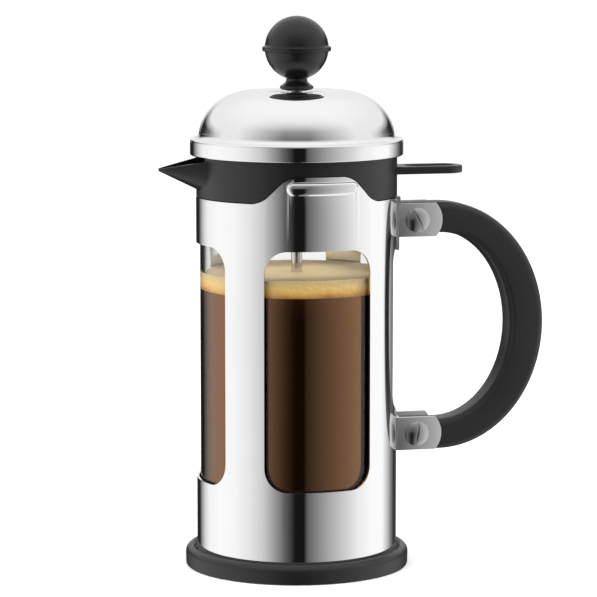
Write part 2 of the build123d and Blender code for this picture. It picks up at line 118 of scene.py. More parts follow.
def add_ramp(tree, factor, stops):
    """Colour ramp on a factor; stops are (position, grey or colour)."""
    node = add_node(tree, "ValToRGB", {"Fac": factor})
    ramp = node.color_ramp
    while len(ramp.elements) < len(stops):
        ramp.elements.new(0.5)
    for element, (position, tone) in zip(ramp.elements, stops):
        colour = tone if isinstance(tone, tuple) else (tone, tone, tone)
        element.position = position
        element.color = (*colour, 1)
    return node.outputs["Color"]


world = bpy.data.worlds.new("studio_world")
bpy.context.scene.world = world
world.use_nodes = True
sky = world.node_tree
sky.nodes.clear()
direction = add_node(sky, "TexCoord").outputs["Generated"]
turned_sky = add_node(
    sky, "VectorRotate", {"Vector": direction, "Angle": CAMERA_TURN}, rotation_type="Z_AXIS"
)
parts = add_node(sky, "SeparateXYZ", {"Vector": turned_sky.outputs["Vector"]})
forward = add_node(sky, "Math", {0: parts.outputs["Y"], 1: -1.0}, operation="MULTIPLY")
bearing = add_node(
    sky, "Math", {0: parts.outputs["X"], 1: forward.outputs[0]}, operation="ARCTAN2"
)
share = rescaled(sky, bearing.outputs[0], -pi, pi)
# bearing in degrees from the camera's side, positive to the right, and the brightness of that card
CARDS = (
    (-180, 0.04), (-172, 0.02), (-150, 0.02), (-143, 0.26), (-133, 0.66), (-122, 0.95), (-100, 1.05),
    (-76, 1.0), (-56, 0.86), (-40, 0.66), (-26, 0.36), (-14, 0.13), (-7, 0.05), (-2, 0.008), (9, 0.008),
    (12, 0.12), (24, 0.26), (40, 0.46), (60, 0.70), (76, 0.92), (96, 1.05), (116, 1.05), (128, 0.62),
    (140, 0.22), (150, 0.04), (164, 0.05), (172, 0.5), (180, 0.30),
)


def by_bearing(tones):
    """Grey that follows the bearing; tones are (degrees, grey)."""
    return add_ramp(sky, share, [((turn + 180) / 360, tone) for turn, tone in tones])


def between(low, high):
    """0 below one height of the sky and 1 above the other, as sines of the elevation."""
    return rescaled(sky, parts.outputs["Z"], low, high)


WHITE = (1.0, 1.0, 1.0, 1.0)
card_light = by_bearing(CARDS)
# above the cards a softbox grows brighter from its foot to its top, with white wings at its sides
SOFTBOX = ((0.0, 0.16), (0.28, 0.22), (0.5, 0.33), (0.63, 0.54), (0.75, 0.74), (0.86, 0.9), (1.0, 1.0))
softbox = add_ramp(sky, between(-1.0, 1.0), [((height + 1) / 2, tone) for height, tone in SOFTBOX])
wings = by_bearing(((-180, 0.85), (-75, 0.85), (-15, 0.0), (15, 0.0), (75, 0.85), (180, 0.85)))
wide = blend(sky, wings, softbox, WHITE)
# two dark flags stand low at the back, one on each side of a white sheet
FLAGS = (
    (-180, 1.0), (-168, 0.9), (-156, 0.03), (-142, 0.03), (-126, 0.25), (-112, 0.7), (-98, 1.0),
    (98, 1.0), (112, 0.7), (126, 0.25), (142, 0.03), (156, 0.03), (168, 0.9), (180, 1.0),
)
screen = blend(sky, between(0.14, 0.30), by_bearing(FLAGS), WHITE)
upper = blend(sky, 1.0, wide, screen, "MULTIPLY")
lit = blend(sky, between(-0.05, 0.03), card_light, upper)
cards = add_node(sky, "Background", {"Color": lit, "Strength": 1.0})
white = add_node(sky, "Background", {"Color": WHITE, "Strength": 1.0})
# seen past the press or through its glass, the room behind is plain white; mirrors see the cards
path = add_node(sky, "LightPath")
mirrored = add_node(sky, "Math", {0: path.outputs["Glossy Depth"], 1: 0.5}, operation="GREATER_THAN")
behind = by_bearing(((-110, 1.0), (-70, 0.0), (70, 0.0), (110, 1.0)))
seen = add_node(sky, "Math", {0: behind, 1: path.outputs["Is Camera Ray"]}, operation="MAXIMUM")
plain = add_node(
    sky, "Math", {0: seen.outputs[0], 1: mirrored.outputs[0]}, operation="SUBTRACT", use_clamp=True
)
shown = add_node(sky, "MixShader", {"Fac": plain.outputs[0], 1: cards.outputs[0], 2: white.outputs[0]})
add_node(sky, "OutputWorld", {"Surface": shown.outputs[0]})



def add_lamp(name, kind, power):
    """A lamp that mirrors don't show."""
    lamp = add_object(name, bpy.data.lights.new(name, kind))
    lamp.data.energy = power
    lamp.visible_glossy = False
    return lamp


LAMP_REACH = 0.9
LAMP_HEIGHT = 0.75
LAMP_SIZE = 0.7
for name, bearing_degrees, power in (
    ("left_softbox", -105, 6.0),
    ("right_softbox", 95, 5.0),
    ("front_softbox", -40, 5.0),
):
    lamp = add_lamp(name, "AREA", power)
    lamp.data.size = LAMP_SIZE
    angle = radians(bearing_degrees) - CAMERA_TURN
    lamp.location = (sin(angle) * LAMP_REACH, -cos(angle) * LAMP_REACH, LAMP_HEIGHT)
    lamp.rotation_euler = (Vector((0, 0, 0.1)) - lamp.location).to_track_quat("-Z", "Y").to_euler()
    lamp.visible_transmission = False

ceiling = add_lamp("ceiling_light", "SUN", 0.9)
ceiling.data.angle = radians(50)
ceiling.rotation_euler = (radians(24), radians(26), 0)

# a faint glow above the foam, for the light that the glass wall leads in
GLOW_HEIGHT = 117.2
glow = add_lamp("headspace_glow", "AREA", 0.0065)
glow.data.size = 0.04
glow.location = (0, 0, GLOW_HEIGHT * MM)
glow.visible_camera = glow.visible_transmission = False

# the paper shows to the camera only; mirrors and the glass see the room in its place
FLOOR_SIZE = 30.0
floor_bm = bmesh.new()
bmesh.ops.create_grid(floor_bm, x_segments=1, y_segments=1, size=FLOOR_SIZE)
floor_mesh = bpy.data.meshes.new("floor")
floor_bm.to_mesh(floor_mesh)
floor_bm.free()
floor = add_object("floor", floor_mesh)
floor.visible_glossy = floor.visible_transmission = False
floor_paper, tree, shader = new_material("floor_paper")
connect(tree, shader, {"Base Color": (0.95, 0.95, 0.95, 1), "Roughness": 0.9})
floor_mesh.materials.append(floor_paper)


# ---- Base ring ----
# Black moulded foot ring with a floor. It is turned here as one profile, with a groove for the
# sleeve, and it carries everything that stays on the table.
def arc(centre, radii, start, end, count):
    """Points on an arc, as (radius, height) pairs; one radius for a circle, angles in degrees."""
    across, up = radii if isinstance(radii, tuple) else (radii, radii)
    steps = [radians(start + (end - start) * i / count) for i in range(count + 1)]
    return [(centre[0] + across * cos(a), centre[1] + up * sin(a)) for a in steps]


def rounded(corners, segments=6):
    """Closed outline with each corner (x, z, rounding) turned into an arc."""
    points = []
    count = len(corners)
    for i, (x, z, rounding) in enumerate(corners):
        here = Vector((x, z))
        if rounding <= 0:
            points.append((x, z))
            continue
        back = (Vector(corners[i - 1][:2]) - here).normalized()
        ahead = (Vector(corners[(i + 1) % count][:2]) - here).normalized()
        half_angle = back.angle(ahead) / 2
        run = rounding / (sin(half_angle) / cos(half_angle))
        middle = here + (back + ahead).normalized() * (rounding / sin(half_angle))
        first, last = here + back * run - middle, here + ahead * run - middle
        sweep = first.angle_signed(last)
        for k in range(segments + 1):
            turn = Matrix.Rotation(-sweep * k / segments, 2)
            points.append(tuple(middle + turn @ first))
    return points


def ring_section(inner, outer, low, high, roundings, segments=6):
    """Outline of a plain ring; the roundings go round from the inner low corner to the inner high."""
    corners = [(inner, low), (outer, low), (outer, high), (inner, high)]
    return rounded([(*corner, rounding) for corner, rounding in zip(corners, roundings)], segments)


def turned(outline, steps, start=0.0, sweep=360.0):
    """The (radius, height) outline in mm, spun round the axis into a closed solid."""
    bm = bmesh.new()
    begin = Matrix.Rotation(radians(start), 3, "Z")
    points = [bm.verts.new(begin @ Vector((r * MM, 0, z * MM))) for r, z in outline]
    whole = sweep == 360.0
    if whole:
        geometry = list(points)
        for i, point in enumerate(points):
            if max(outline[i][0], outline[i - 1][0]) > 0.001:
                geometry.append(bm.edges.new((points[i - 1], point)))
    else:
        section = bm.faces.new(points)
        geometry = points + list(section.edges) + [section]
    bmesh.ops.spin(
        bm,
        geom=geometry,
        cent=(0, 0, 0),
        axis=(0, 0, 1),
        dvec=(0, 0, 0),
        angle=radians(sweep),
        steps=steps,
        use_merge=whole,
    )
    bmesh.ops.remove_doubles(bm, verts=bm.verts, dist=1e-6)
    bmesh.ops.recalc_face_normals(bm, faces=bm.faces)
    return bm


def add_piece(name, bm, material, body, nodes=(), sharp=32.0):
    """Shade the mesh, make it an object, tie it to its body and hide the CAD nodes that it stands in for.
    """
    for face in bm.faces:
        face.smooth = True
    for edge in bm.edges:
        if len(edge.link_faces) == 2 and edge.calc_face_angle(0) > radians(sharp):
            edge.smooth = False
    mesh = bpy.data.meshes.new(name)
    bm.to_mesh(mesh)
    bm.free()
    mesh.materials.append(material)
    piece = add_object(name, mesh)
    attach(piece, body)
    if nodes:
        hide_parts(*nodes)
    return piece


def object_place(tree):
    """Position in the object's own frame."""
    return add_node(tree, "TexCoord").outputs["Object"]


def noise(tree, place, scale, detail, roughness=0.5):
    """Soft random cloud at the given place."""
    inputs = {"Vector": place, "Scale": scale, "Detail": detail, "Roughness": roughness}
    return add_node(tree, "TexNoise", inputs).outputs["Fac"]


def bumps(tree, height, strength, distance, **settings):
    """Normal with the relief of a height."""
    inputs = {"Height": height, "Strength": strength, "Distance": distance}
    return add_node(tree, "Bump", inputs, **settings).outputs["Normal"]


def scaled(tree, value, factor, offset):
    """A value times a factor, plus an offset."""
    inputs = {0: value, 1: factor, 2: offset}
    return add_node(tree, "Math", inputs, operation="MULTIPLY_ADD").outputs[0]


def moulded_grain():
    """Node group: the fine spark-eroded texture of moulded plastic."""
    group = bpy.data.node_groups.new("moulded_grain", "ShaderNodeTree")
    sockets = group.interface
    for name in ("Scale", "Roughness", "Spread"):
        sockets.new_socket(name, in_out="INPUT", socket_type="NodeSocketFloat")
    sockets.new_socket("Roughness", in_out="OUTPUT", socket_type="NodeSocketFloat")
    sockets.new_socket("Height", in_out="OUTPUT", socket_type="NodeSocketFloat")
    entry = group.nodes.new("NodeGroupInput")
    leave = group.nodes.new("NodeGroupOutput")
    place = object_place(group)
    broad = noise(group, place, 60.0, 2.0)
    centred = add_node(group, "Math", {0: broad, 1: 0.5}, operation="SUBTRACT").outputs[0]
    connect(group, leave, {
        "Roughness": scaled(group, centred, entry.outputs["Spread"], entry.outputs["Roughness"]),
        "Height": noise(group, place, entry.outputs["Scale"], 3.0, 0.6),
    })
    return group


grain_group = moulded_grain()


def plastic(name, colour, roughness, bump, spread=0.1, scale=900.0):
    """Moulded plastic with a fine grain and slightly uneven shine."""
    material, tree, shader = new_material(name)
    grain = add_node(tree, "Group", node_tree=grain_group)
    connect(tree, grain, {"Roughness": roughness, "Spread": spread, "Scale": scale})
    place = object_place(tree)
    darker = tuple(channel * 0.8 for channel in colour)
    lighter = tuple(channel * 1.25 for channel in colour)
    connect(tree, shader, {
        "Base Color": add_ramp(tree, noise(tree, place, 35.0, 4.0), [(0.3, darker), (0.7, lighter)]),
        "Roughness": grain.outputs["Roughness"],
        "Normal": bumps(tree, grain.outputs["Height"], bump, 0.0002),
    })
    return material


foot_plastic = plastic("foot_plastic", (0.009, 0.009, 0.0095), 0.36, 0.2)
BASE_RADIUS = 40.7
SLEEVE_RADIUS = 36.4
SHEET = 0.8
RING_FLOOR = 2.4
RING_CREST = 7.0
RING_STEP = 5.4
GROOVE_FLOOR = 3.0
GROOVE_OUTER = SLEEVE_RADIUS + 0.2
GROOVE_INNER = SLEEVE_RADIUS - SHEET - 0.2
ring_outline = rounded([
    (0, 0, 0),
    (BASE_RADIUS - 0.2, 0, 0.7),
    (BASE_RADIUS, RING_CREST, 2.5),
    (SLEEVE_RADIUS + 1.6, RING_CREST, 1.0),
    (SLEEVE_RADIUS + 0.5, RING_STEP, 0.3),
    (GROOVE_OUTER, 5.2, 0),
    (GROOVE_OUTER, GROOVE_FLOOR, 0),
    (GROOVE_INNER, GROOVE_FLOOR, 0),
    (GROOVE_INNER, RING_STEP, 0.3),
    (GROOVE_INNER - 2.0, RING_STEP, 0.3),
    (GROOVE_INNER - 2.0, RING_FLOOR, 0),
    (0, RING_FLOOR, 0),
])
add_piece("base_ring_turned", turned(ring_outline, 200), foot_plastic, "frame", ["base_ring"])

# ---- Base cushion ----
# Soft black rubber disc with rounded edges, laid loose in the foot ring. The glass stands on it
# and not on the hard plastic.
rubber = plastic("soft_rubber", (0.03, 0.03, 0.03), 0.75, 0.4, 0.06, 500.0)
CUSHION_RADIUS = 29
GLASS_SEAT = 8.0
cushion_outline = ring_section(0, CUSHION_RADIUS, RING_FLOOR, GLASS_SEAT, (0, 0.6, 0.8, 0))
add_piece("cushion_disc", turned(cushion_outline, 96), rubber, "frame", ["base_cushion"])


# ---- Sleeve ----
# Sheet steel, rolled into a tube and polished, with four windows, a wavy rim and a pressed pill in
# each arch. The blank is laid out flat, cut, sliced into narrow columns and rolled round the axis.
def polished(name, tint, roughness, smudge):
    """Polished metal: hazy smudges and hairline wiping marks in the shine."""
    material, tree, shader = new_material(name)
    place = object_place(tree)
    haze = noise(tree, place, 22.0, 5.0, 0.6)
    flat = add_node(tree, "Mapping", {"Vector": place, "Scale": (1.0, 1.0, 30.0)}).outputs[0]
    wiped = tuple(channel * 0.965 for channel in tint)
    connect(tree, shader, {
        "Base Color": add_ramp(tree, haze, [(0.3, tint), (0.75, wiped)]),
        "Metallic": 1.0,
        "Roughness": scaled(tree, haze, smudge, roughness),
        "Normal": bumps(tree, noise(tree, flat, 60.0, 4.0), 0.012, 0.0002),
    })
    return material


sleeve_metal = polished("sleeve_chrome", (0.93, 0.93, 0.935), 0.035, 0.035)


def cut_outline(corners, run, which=None, segments=10):
    """Closed flat outline, with the chosen corners rounded by a vertex bevel; points in mm."""
    bm = bmesh.new()
    verts = [bm.verts.new((x, 0, z)) for x, z in corners]
    bm.faces.new(verts)
    chosen = verts if which is None else [verts[i] for i in which]
    bmesh.ops.bevel(
        bm,
        geom=chosen,
        offset=run,
        offset_type="OFFSET",
        segments=segments,
        profile=0.5,
        affect="VERTICES",
        material=-1,
    )
    bm.faces.ensure_lookup_table()
    face = max(bm.faces, key=lambda f: len(f.verts))
    points = [vert.co.copy() for vert in face.verts]
    bm.free()
    return points


def edge_loop(bm, points, lift=0.0):
    """Closed loop of edges through the points, in mm, lifted along Y."""
    verts = [bm.verts.new(Vector(point) * MM + Vector((0, lift * MM, 0))) for point in points]
    return [bm.edges.new((verts[i - 1], verts[i])) for i in range(len(verts))]


def flat_blank(bm, outlines, presses=()):
    """Fill between flat outlines; each press is a row of (outline, lift), the first one the hole."""
    edges = []
    holes = []
    for points in list(outlines) + [press[0][0] for press in presses]:
        loop = edge_loop(bm, points)
        edges += loop
        holes.append(loop)
    bmesh.ops.triangle_fill(bm, use_beauty=True, use_dissolve=False, edges=edges, normal=(0, -1, 0))
    for press, loop in zip(presses, holes[len(outlines):]):
        for points, lift in press[1:]:
            smaller = edge_loop(bm, points, lift)
            bridge = bmesh.ops.bridge_loops(bm, edges=loop + smaller)
            for edge in loop + smaller + bridge["edges"]:
                edge.seam = True
            loop = smaller
        bmesh.ops.contextual_create(bm, geom=loop)


def slice_columns(bm, low, high, count):
    """Cut a flat blank into narrow upright columns and join up each column's own faces."""
    for i in range(1, count):
        bmesh.ops.bisect_plane(
            bm,
            geom=bm.verts[:] + bm.edges[:] + bm.faces[:],
            dist=1e-7,
            plane_co=((low + (high - low) * i / count) * MM, 0, 0),
            plane_no=(1, 0, 0),
        )
    column = (high - low) / count * MM
    inner = []
    for edge in bm.edges:
        a, b = edge.verts
        upright = abs(a.co.x - b.co.x) < 1e-7
        on_line = abs((a.co.x - low * MM) / column - round((a.co.x - low * MM) / column)) < 1e-3
        if len(edge.link_faces) == 2 and not edge.seam and not (upright and on_line):
            inner.append(edge)
    bmesh.ops.dissolve_edges(bm, edges=inner, use_verts=False, use_face_split=False)


def roll(bm, radius, start):
    """Roll a flat blank round the axis: x runs round from the start angle, y is outwards."""
    for vert in bm.verts:
        angle = radians(start) + vert.co.x / (radius * MM)
        reach = radius * MM + vert.co.y
        vert.co.x, vert.co.y = reach * cos(angle), reach * sin(angle)
    bmesh.ops.remove_doubles(bm, verts=bm.verts, dist=1e-6)
    bmesh.ops.recalc_face_normals(bm, faces=bm.faces)
    face = max(bm.faces, key=lambda f: f.calc_area())
    centre = face.calc_center_median()
    if face.normal.dot(Vector((centre.x, centre.y, 0))) < 0:
        bmesh.ops.reverse_faces(bm, faces=bm.faces)


def along(chord, radius):
    """Length round a tube for a half chord across it."""
    return radius * asin(chord / radius)


def box(middle, half, low, high):
    """Corners of a flat upright box."""
    return [(middle - half, low), (middle - half, high), (middle + half, high), (middle + half, low)]


SLEEVE_FOOT = 3.2
SLEEVE_RIM = 134.8
ARCH_TOP = 144.4
ARCH_FOOT = 20.4
ARCH_CROWN = 11.4
ARCH_RUN = 3.6
WINDOW_HALF = 19.35
WINDOW_TOP = 118.3
WINDOW_BOTTOM = 32.4
WINDOW_RUN = 8.4
HANDLE_WINDOW_BOTTOM = 57.0
quarter = SLEEVE_RADIUS * pi / 2
round_length = 4 * quarter
SLEEVE_START = -45.0


def wavy_rim(radius, grow, middles):
    """Corners of the wavy edge, left to right, with an arch over each of the two middles."""
    foot = along(ARCH_FOOT + grow * 0.43, radius)
    crown = along(ARCH_CROWN + grow * 0.43, radius)
    corners = []
    for middle in middles:
        corners += [
            (middle - foot, SLEEVE_RIM + grow),
            (middle - crown, ARCH_TOP + grow),
            (middle + crown, ARCH_TOP + grow),
            (middle + foot, SLEEVE_RIM + grow),
        ]
    return corners


sleeve_bm = bmesh.new()
arch_middles = (quarter * 1.5, quarter * 3.5)
rim = wavy_rim(SLEEVE_RADIUS, 0.0, arch_middles)
blank = [(0, SLEEVE_FOOT), (0, SLEEVE_RIM), *rim, (round_length, SLEEVE_RIM), (round_length, SLEEVE_FOOT)]
outlines = [cut_outline(blank, ARCH_RUN, range(2, 10))]
window_half = along(WINDOW_HALF, SLEEVE_RADIUS)
for i in range(4):
    middle = quarter * (i + 0.5)
    low = HANDLE_WINDOW_BOTTOM if i == 0 else WINDOW_BOTTOM
    outlines.append(cut_outline(box(middle, window_half, low, WINDOW_TOP), WINDOW_RUN))
PILL_HALF = 13.4
PILL_MIDDLE = 140.3
PILL_RISE = 2.4
PILL_STEPS = ((0.0, 0.0), (0.12, 0.06), (0.34, 0.38), (0.60, 0.62), (0.95, 0.80), (1.45, 0.90))
PILL_SHIFT = 1.2
presses = []
for middle in (arch_middles[0] - PILL_SHIFT, arch_middles[1] + PILL_SHIFT):
    press = []
    for inset, lift in PILL_STEPS:
        reach, half_height = PILL_HALF - inset, PILL_RISE - inset
        pill = box(middle, reach, PILL_MIDDLE - half_height, PILL_MIDDLE + half_height)
        press.append((cut_outline(pill, half_height * 0.99), lift))
    presses.append(press)
flat_blank(sleeve_bm, outlines, presses)
slice_columns(sleeve_bm, 0.0, round_length, 240)
roll(sleeve_bm, SLEEVE_RADIUS, SLEEVE_START)
sleeve = add_piece("sleeve_shell", sleeve_bm, sleeve_metal, "frame", ["sleeve"], 60.0)


def thicken(piece, thickness, edge_round):
    """Give a sheet its thickness inwards and take the sharpness off its cut edges."""
    solid = piece.modifiers.new("sheet", "SOLIDIFY")
    solid.thickness = thickness * MM
    solid.offset = -1.0
    solid.use_even_offset = True
    bevel = piece.modifiers.new("edges", "BEVEL")
    bevel.width = edge_round * MM
    bevel.segments = 2
    bevel.limit_method = "ANGLE"
    bevel.angle_limit = radians(50)
    bevel.harden_normals = True


thicken(sleeve, SHEET, 0.18)


# ---- Brackets ----
# Steel straps bent into a U and welded to the sleeve. Each holds one arm of the handle between its
# legs, which end in a half-round nose, and is finished with a fine brushed grain.
def brushed(name, tint, roughness, direction):
    """Brushed steel: fine parallel scratches along the given stretch."""
    material, tree, shader = new_material(name)
    place = object_place(tree)
    stretched = add_node(tree, "Mapping", {"Vector": place, "Scale": direction}).outputs[0]
    lines = noise(tree, stretched, 300.0, 5.0, 0.7)
    darker = tuple(channel * 0.9 for channel in tint)
    connect(tree, shader, {
        "Base Color": add_ramp(tree, noise(tree, place, 90.0, 3.0), [(0.3, tint), (0.7, darker)]),
        "Metallic": 1.0,
        "Roughness": scaled(tree, lines, 0.18, roughness - 0.09),
        "Normal": bumps(tree, lines, 0.12, 0.0001),
    })
    return material


bracket_metal = brushed("bracket_steel", (0.76, 0.76, 0.765), 0.34, (1.0, 1.0, 14.0))
STRAP = 1.2
STRAP_SEAT = 36.45
LEG_INNER = 6.05
LEG_NOSE = 52.9
NOSE_ROUND = 9.0
LEG_ROOT = 36.2
TONGUE_LOW = 114.5
TONGUE_HIGH = 120
TONGUE_REACH = 6.5


def bevel_edges(bm, edges, width, segments, **settings):
    """Round the given edges."""
    bmesh.ops.bevel(
        bm,
        geom=edges,
        offset=width * MM,
        segments=segments,
        profile=0.5,
        affect="EDGES",
        material=-1,
        **settings,
    )


def plate(outlines, thickness, edge_round, segments):
    """Flat plate in XZ between closed outlines, thickened along +Y and rounded at its rims."""
    bm = bmesh.new()
    edges = []
    for points in outlines:
        edges += edge_loop(bm, [(point[0], 0, point[-1]) for point in points])
    bmesh.ops.triangle_fill(bm, use_beauty=True, use_dissolve=True, edges=edges, normal=(0, -1, 0))
    grown = bmesh.ops.extrude_face_region(bm, geom=bm.faces[:])
    moved = [item for item in grown["geom"] if isinstance(item, bmesh.types.BMVert)]
    bmesh.ops.translate(bm, verts=moved, vec=(0, thickness * MM, 0))
    bmesh.ops.recalc_face_normals(bm, faces=bm.faces)
    rims = [
        edge
        for edge in bm.edges
        if edge.calc_face_angle(0) > radians(60)
        and abs(edge.verts[0].co.y - edge.verts[1].co.y) < 1e-7
    ]
    bevel_edges(bm, rims, edge_round, segments, clamp_overlap=True)
    return bm


def join(target, source):
    """Add one bmesh to another and free it."""
    mesh = bpy.data.meshes.new("loose")
    source.to_mesh(mesh)
    source.free()
    target.from_mesh(mesh)
    bpy.data.meshes.remove(mesh)


def strap_band(low, high, steps, reach):
    """Part of the strap that lies round the sleeve, between two heights and reach degrees each way."""
    outline = ring_section(STRAP_SEAT, STRAP_SEAT + STRAP, low, high, (0, 0, 0, 0))
    return turned(outline, steps, -reach, 2 * reach)


for name, low, high, web_low, web_high in (
    ("upper_bracket", 119.5, 131.7, 119.6, 134.3),
    ("lower_bracket", 41.0, 53.2, 41.1, 53.1),
):
    half = (high - low) / 2
    middle = (high + low) / 2
    lean = degrees(asin(half / NOSE_ROUND))
    nose = arc((LEG_NOSE - NOSE_ROUND, middle), NOSE_ROUND, -lean, lean, 16)
    leg = nose + [(LEG_ROOT, high), (LEG_ROOT, low)]
    bracket_bm = bmesh.new()
    for y in (-LEG_INNER - STRAP, LEG_INNER):
        leg_bm = plate([leg], STRAP, 0.22, 2)
        bmesh.ops.translate(leg_bm, verts=leg_bm.verts, vec=(0, y * MM, 0))
        join(bracket_bm, leg_bm)
    spread = degrees(asin((LEG_INNER + STRAP) / (STRAP_SEAT + STRAP)))
    join(bracket_bm, strap_band(web_low, web_high, 16, spread))
    if name == "upper_bracket":
        join(bracket_bm, strap_band(TONGUE_LOW, TONGUE_HIGH, 10, TONGUE_REACH))
    add_piece(name + "_strap", bracket_bm, bracket_metal, "frame", [name])

# ---- Handle ----
# Black nylon moulding, a D bow of rounded section. Its arms are clamped between the legs of the
# two brackets. Rounded sections are set out along the bow and skinned.
handle_plastic = plastic("handle_plastic", (0.010, 0.010, 0.0105), 0.40, 0.2)
BOW_CENTRE = (53.0, 86.2)
BOW_OUTER = (39.4, 45.6)
BOW_INNER = (26.4, 34.3)
HANDLE_HALF = 6.0
HANDLE_ROUND = 2.6
ARM_END = 38.0
ARM_STEPS = 5
BOW_STEPS = 72


def section_loop(bm, x, angle):
    """One rounded cross-section of the handle, on the line at this angle from a centre at x."""
    inner, outer = (
        Vector((x + radii[0] * cos(angle), BOW_CENTRE[1] + radii[1] * sin(angle)))
        for radii in (BOW_INNER, BOW_OUTER)
    )
    middle = (inner + outer) / 2
    across = (outer - inner).normalized()
    half = (outer - inner).length / 2
    corners = [(half, HANDLE_HALF), (-half, HANDLE_HALF), (-half, -HANDLE_HALF), (half, -HANDLE_HALF)]
    points = rounded([(x, y, HANDLE_ROUND) for x, y in corners], 6)
    return edge_loop(bm, [(middle.x + across.x * x, y, middle.y + across.y * x) for x, y in points])


def bridge_skin(bm, loops):
    """Skin a row of edge loops and close both its ends."""
    for first, second in zip(loops, loops[1:]):
        bmesh.ops.bridge_loops(bm, edges=first + second)
    for loop in (loops[0], loops[-1]):
        bmesh.ops.contextual_create(bm, geom=loop)
    bmesh.ops.recalc_face_normals(bm, faces=bm.faces)


handle_bm = bmesh.new()
arm = [ARM_END + (BOW_CENTRE[0] - ARM_END) * i / ARM_STEPS for i in range(ARM_STEPS)]
stations = [(x, pi / 2) for x in arm]
stations += [(BOW_CENTRE[0], pi / 2 - pi * i / BOW_STEPS) for i in range(BOW_STEPS + 1)]
stations += [(x, -pi / 2) for x in reversed(arm)]
bridge_skin(handle_bm, [section_loop(handle_bm, x, angle) for x, angle in stations])
add_piece("handle_bow", handle_bm, handle_plastic, "frame", ["handle"])

# ---- Handle screws ----
# Polished round-head steel screws with one slot each, driven through bracket and handle from the
# -Y side. Each head is made of two halves beside the slot, on a thin floor.
screw_metal = polished("screw_steel", (0.52, 0.52, 0.52), 0.14, 0.08)
HEAD_RADIUS = 4.5
HEAD_HEIGHT = 1.7
SLOT_HALF = 0.55
SLOT_FLOOR = 0.8
SHANK_RADIUS = 2.0
SHANK_LENGTH = 17.8
SCREW_X = 43.4
SCREW_HEIGHTS = (125.6, 47.1)
SCREW_TURNS = (-28.0, 10.0)


def screw_head():
    """Domed head on +Z with a slot along its Y."""
    cap = (HEAD_RADIUS**2 + (HEAD_HEIGHT - 0.5) ** 2) / (2 * (HEAD_HEIGHT - 0.5))
    lean = degrees(asin(HEAD_RADIUS / cap))
    crown = arc((0, HEAD_HEIGHT - cap), cap, 90 - lean, 90, 10)
    outline = [(0, 0), (HEAD_RADIUS, 0)] + crown[:-1] + [(0, HEAD_HEIGHT)]
    head = bmesh.new()
    for flip in (0, pi):
        half = turned(outline, 48)
        result = bmesh.ops.bisect_plane(
            half,
            geom=half.verts[:] + half.edges[:] + half.faces[:],
            plane_co=(SLOT_HALF * MM, 0, 0),
            plane_no=(-1, 0, 0),
            clear_outer=True,
        )
        cut = [item for item in result["geom_cut"] if isinstance(item, bmesh.types.BMEdge)]
        bmesh.ops.contextual_create(half, geom=cut)
        bmesh.ops.rotate(half, verts=half.verts, cent=(0, 0, 0), matrix=Matrix.Rotation(flip, 3, "Z"))
        join(head, half)
    rim = HEAD_RADIUS - 0.05
    slot_floor = [(0, 0), (rim, 0), (rim, SLOT_FLOOR - 0.3), (rim - 0.55, SLOT_FLOOR), (0, SLOT_FLOOR)]
    join(head, turned(slot_floor, 48))
    bmesh.ops.recalc_face_normals(head, faces=head.faces)
    return head


screws_bm = bmesh.new()
for height, turn in zip(SCREW_HEIGHTS, SCREW_TURNS):
    head = screw_head()
    join(head, turned(ring_section(0, SHANK_RADIUS, -SHANK_LENGTH, 0.1, (0, 0.3, 0, 0), 2), 32))
    place = Matrix.Translation((SCREW_X * MM, -(LEG_INNER + STRAP) * MM, height * MM))
    tilt = Matrix.Rotation(pi / 2, 4, "X") @ Matrix.Rotation(radians(-turn), 4, "Z")
    bmesh.ops.transform(head, matrix=place @ tilt, verts=head.verts)
    join(screws_bm, head)
add_piece("slotted_screws", screws_bm, screw_metal, "frame", ["handle_screws"])

# ---- Handle nuts ----
# Small hexagon nuts of the same steel on the +Y side, chamfered on their outer face. They take
# the ends of the handle screws.
NUT_RADIUS = 4.04      # over the corners
NUT_DEPTH = 2.4


def hexagon(depth):
    """A hexagonal block on the Z axis, with its middle at the origin."""
    bm = bmesh.new()
    bmesh.ops.create_cone(
        bm, cap_ends=True, segments=6, radius1=NUT_RADIUS * MM, radius2=NUT_RADIUS * MM, depth=depth * MM
    )
    return bm


nuts_bm = bmesh.new()
for height in SCREW_HEIGHTS:
    nut = hexagon(NUT_DEPTH)
    rims = [e for e in nut.edges if e.verts[0].co.z > 0 and e.verts[1].co.z > 0]
    bevel_edges(nut, rims, 0.35, 2)
    place = Matrix.Translation((SCREW_X * MM, (LEG_INNER + STRAP + NUT_DEPTH / 2) * MM, height * MM))
    bmesh.ops.transform(nut, matrix=place @ Matrix.Rotation(-pi / 2, 4, "X"), verts=nut.verts)
    join(nuts_bm, nut)
add_piece("hexagon_nuts", nuts_bm, screw_metal, "frame", ["handle_nuts"], 20.0)

# ---- Glass beaker ----
# Clear borosilicate cup with a rounded foot and a fire-polished rim. It stands on the cushion and
# is turned here as one closed wall.
glass, tree, shader = new_material("clear_glass")
place = object_place(tree)
connect(tree, shader, {
    "Base Color": (0.985, 0.995, 0.992, 1),
    "Roughness": 0.0,
    "IOR": 1.47,
    "Transmission Weight": 1.0,
    "Normal": bumps(tree, noise(tree, place, 18.0, 1.0), 0.03, 0.001),
})
